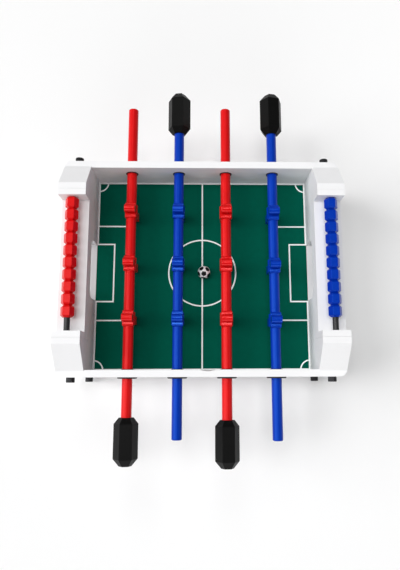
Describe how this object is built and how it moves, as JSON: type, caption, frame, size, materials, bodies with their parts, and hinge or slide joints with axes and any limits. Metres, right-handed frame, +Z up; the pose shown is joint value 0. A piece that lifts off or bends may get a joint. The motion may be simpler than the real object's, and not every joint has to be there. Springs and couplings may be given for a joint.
{
  "type": "foosball table",
  "caption": "Tabletop foosball table: four sliding, turning rods with figures over a green pitch, goals in both end walls and sliding score beads above them.",
  "frame": {"origin": "on the ground under the middle of the pitch", "axes": "+Z up, X from goal to goal, Y along the rods from the near side to the far side"},
  "size_m": [0.2866, 0.3961, 0.1275],
  "materials": {
    "white_plastic": "white printed plastic, faint layer lines",
    "pitch_green": "deep green matt board",
    "line_white": "white inlaid lines",
    "black_steel": "black oxide socket screws",
    "insert_brass": "knurled brass",
    "bushing_black": "black plastic",
    "liner_black": "black low-friction plastic",
    "bead_rod_black": "black rod",
    "ball_skin": "white ball with black panels",
    "red_shaft": "red satin plastic",
    "blue_shaft": "blue satin plastic",
    "red_figure": "red satin plastic",
    "blue_figure": "blue satin plastic",
    "red_bead": "red satin plastic",
    "blue_bead": "blue satin plastic",
    "handle_black": "black plastic, satin"
  },
  "bodies": {
    "frame": {"near_wall": "white_plastic", "far_wall": "white_plastic", "left_goal_wall": "white_plastic", "right_goal_wall": "white_plastic", "pitch_board": "pitch_green", "pitch_lines": "line_white", "wall_bolts": "black_steel", "threaded_inserts": "insert_brass", "near_bushings": "bushing_black", "far_bushings": "bushing_black", "left_bead_rod": "bead_rod_black", "right_bead_rod": "bead_rod_black"},
    "ball": {"ball": "ball_skin"},
    "rod_1_bearing": {"rod_1_liners": "liner_black"},
    "rod_1": {"rod_1_shaft": "red_shaft", "rod_1_handle": "handle_black", "rod_1_figure_1": "red_figure", "rod_1_figure_2": "red_figure", "rod_1_figure_3": "red_figure"},
    "rod_2_bearing": {"rod_2_liners": "liner_black"},
    "rod_2": {"rod_2_shaft": "blue_shaft", "rod_2_handle": "handle_black", "rod_2_figure_1": "blue_figure", "rod_2_figure_2": "blue_figure", "rod_2_figure_3": "blue_figure"},
    "rod_3_bearing": {"rod_3_liners": "liner_black"},
    "rod_3": {"rod_3_shaft": "red_shaft", "rod_3_handle": "handle_black", "rod_3_figure_1": "red_figure", "rod_3_figure_2": "red_figure", "rod_3_figure_3": "red_figure"},
    "rod_4_bearing": {"rod_4_liners": "liner_black"},
    "rod_4": {"rod_4_shaft": "blue_shaft", "rod_4_handle": "handle_black", "rod_4_figure_1": "blue_figure", "rod_4_figure_2": "blue_figure", "rod_4_figure_3": "blue_figure"},
    "left_bead_10": {"left_bead_10": "red_bead"},
    "left_bead_9": {"left_bead_9": "red_bead"},
    "left_bead_8": {"left_bead_8": "red_bead"},
    "left_bead_7": {"left_bead_7": "red_bead"},
    "left_bead_6": {"left_bead_6": "red_bead"},
    "left_bead_5": {"left_bead_5": "red_bead"},
    "left_bead_4": {"left_bead_4": "red_bead"},
    "left_bead_3": {"left_bead_3": "red_bead"},
    "left_bead_2": {"left_bead_2": "red_bead"},
    "left_bead_1": {"left_bead_1": "red_bead"},
    "right_bead_10": {"right_bead_10": "blue_bead"},
    "right_bead_9": {"right_bead_9": "blue_bead"},
    "right_bead_8": {"right_bead_8": "blue_bead"},
    "right_bead_7": {"right_bead_7": "blue_bead"},
    "right_bead_6": {"right_bead_6": "blue_bead"},
    "right_bead_5": {"right_bead_5": "blue_bead"},
    "right_bead_4": {"right_bead_4": "blue_bead"},
    "right_bead_3": {"right_bead_3": "blue_bead"},
    "right_bead_2": {"right_bead_2": "blue_bead"},
    "right_bead_1": {"right_bead_1": "blue_bead"}
  },
  "joints": [
    {"name": "ball_slide", "type": "slide", "parent": "frame", "child": "ball", "axis": [0, 1, 0], "range_m": [-0.096, 0.096]},
    {"name": "rod_1_turn", "type": "hinge", "parent": "frame", "child": "rod_1_bearing", "pos_m": [-0.07545, 0, 0.088], "axis": [0, 1, 0], "continuous": true},
    {"name": "rod_1_slide", "type": "slide", "parent": "rod_1_bearing", "child": "rod_1", "axis": [0, 1, 0], "range_m": [-0.043, 0.0332]},
    {"name": "rod_2_turn", "type": "hinge", "parent": "frame", "child": "rod_2_bearing", "pos_m": [-0.02515, 0, 0.088], "axis": [0, 1, 0], "continuous": true},
    {"name": "rod_2_slide", "type": "slide", "parent": "rod_2_bearing", "child": "rod_2", "axis": [0, 1, 0], "range_m": [-0.036, 0.0337]},
    {"name": "rod_3_turn", "type": "hinge", "parent": "frame", "child": "rod_3_bearing", "pos_m": [0.02515, 0, 0.088], "axis": [0, 1, 0], "continuous": true},
    {"name": "rod_3_slide", "type": "slide", "parent": "rod_3_bearing", "child": "rod_3", "axis": [0, 1, 0], "range_m": [-0.0421, 0.034]},
    {"name": "rod_4_turn", "type": "hinge", "parent": "frame", "child": "rod_4_bearing", "pos_m": [0.07545, 0, 0.088], "axis": [0, 1, 0], "continuous": true},
    {"name": "rod_4_slide", "type": "slide", "parent": "rod_4_bearing", "child": "rod_4", "axis": [0, 1, 0], "range_m": [-0.036, 0.0353]},
    {"name": "left_bead_10_slide", "type": "slide", "parent": "frame", "child": "left_bead_10", "axis": [0, 1, 0], "range_m": [-0.0126, 0]},
    {"name": "left_bead_9_slide", "type": "slide", "parent": "frame", "child": "left_bead_9", "axis": [0, 1, 0], "range_m": [-0.0126, 0]},
    {"name": "left_bead_8_slide", "type": "slide", "parent": "frame", "child": "left_bead_8", "axis": [0, 1, 0], "range_m": [-0.0126, 0]},
    {"name": "left_bead_7_slide", "type": "slide", "parent": "frame", "child": "left_bead_7", "axis": [0, 1, 0], "range_m": [-0.0126, 0]},
    {"name": "left_bead_6_slide", "type": "slide", "parent": "frame", "child": "left_bead_6", "axis": [0, 1, 0], "range_m": [-0.0126, 0]},
    {"name": "left_bead_5_slide", "type": "slide", "parent": "frame", "child": "left_bead_5", "axis": [0, 1, 0], "range_m": [-0.0126, 0]},
    {"name": "left_bead_4_slide", "type": "slide", "parent": "frame", "child": "left_bead_4", "axis": [0, 1, 0], "range_m": [-0.0126, 0]},
    {"name": "left_bead_3_slide", "type": "slide", "parent": "frame", "child": "left_bead_3", "axis": [0, 1, 0], "range_m": [-0.0126, 0]},
    {"name": "left_bead_2_slide", "type": "slide", "parent": "frame", "child": "left_bead_2", "axis": [0, 1, 0], "range_m": [-0.0126, 0]},
    {"name": "left_bead_1_slide", "type": "slide", "parent": "frame", "child": "left_bead_1", "axis": [0, 1, 0], "range_m": [-0.0126, 0]},
    {"name": "right_bead_10_slide", "type": "slide", "parent": "frame", "child": "right_bead_10", "axis": [0, 1, 0], "range_m": [-0.0126, 0]},
    {"name": "right_bead_9_slide", "type": "slide", "parent": "frame", "child": "right_bead_9", "axis": [0, 1, 0], "range_m": [-0.0126, 0]},
    {"name": "right_bead_8_slide", "type": "slide", "parent": "frame", "child": "right_bead_8", "axis": [0, 1, 0], "range_m": [-0.0126, 0]},
    {"name": "right_bead_7_slide", "type": "slide", "parent": "frame", "child": "right_bead_7", "axis": [0, 1, 0], "range_m": [-0.0126, 0]},
    {"name": "right_bead_6_slide", "type": "slide", "parent": "frame", "child": "right_bead_6", "axis": [0, 1, 0], "range_m": [-0.0126, 0]},
    {"name": "right_bead_5_slide", "type": "slide", "parent": "frame", "child": "right_bead_5", "axis": [0, 1, 0], "range_m": [-0.0126, 0]},
    {"name": "right_bead_4_slide", "type": "slide", "parent": "frame", "child": "right_bead_4", "axis": [0, 1, 0], "range_m": [-0.0126, 0]},
    {"name": "right_bead_3_slide", "type": "slide", "parent": "frame", "child": "right_bead_3", "axis": [0, 1, 0], "range_m": [-0.0126, 0]},
    {"name": "right_bead_2_slide", "type": "slide", "parent": "frame", "child": "right_bead_2", "axis": [0, 1, 0], "range_m": [-0.0126, 0]},
    {"name": "right_bead_1_slide", "type": "slide", "parent": "frame", "child": "right_bead_1", "axis": [0, 1, 0], "range_m": [-0.0126, 0]}
  ],
  "couplings": [
    {"joint": "left_bead_9_slide", "follows": "left_bead_10_slide", "ratio": 1},
    {"joint": "left_bead_8_slide", "follows": "left_bead_10_slide", "ratio": 1},
    {"joint": "left_bead_7_slide", "follows": "left_bead_10_slide", "ratio": 1},
    {"joint": "left_bead_6_slide", "follows": "left_bead_10_slide", "ratio": 1},
    {"joint": "left_bead_5_slide", "follows": "left_bead_10_slide", "ratio": 1},
    {"joint": "left_bead_4_slide", "follows": "left_bead_10_slide", "ratio": 1},
    {"joint": "left_bead_3_slide", "follows": "left_bead_10_slide", "ratio": 1},
    {"joint": "left_bead_2_slide", "follows": "left_bead_10_slide", "ratio": 1},
    {"joint": "left_bead_1_slide", "follows": "left_bead_10_slide", "ratio": 1},
    {"joint": "right_bead_9_slide", "follows": "right_bead_10_slide", "ratio": 1},
    {"joint": "right_bead_8_slide", "follows": "right_bead_10_slide", "ratio": 1},
    {"joint": "right_bead_7_slide", "follows": "right_bead_10_slide", "ratio": 1},
    {"joint": "right_bead_6_slide", "follows": "right_bead_10_slide", "ratio": 1},
    {"joint": "right_bead_5_slide", "follows": "right_bead_10_slide", "ratio": 1},
    {"joint": "right_bead_4_slide", "follows": "right_bead_10_slide", "ratio": 1},
    {"joint": "right_bead_3_slide", "follows": "right_bead_10_slide", "ratio": 1},
    {"joint": "right_bead_2_slide", "follows": "right_bead_10_slide", "ratio": 1},
    {"joint": "right_bead_1_slide", "follows": "right_bead_10_slide", "ratio": 1}
  ]
}
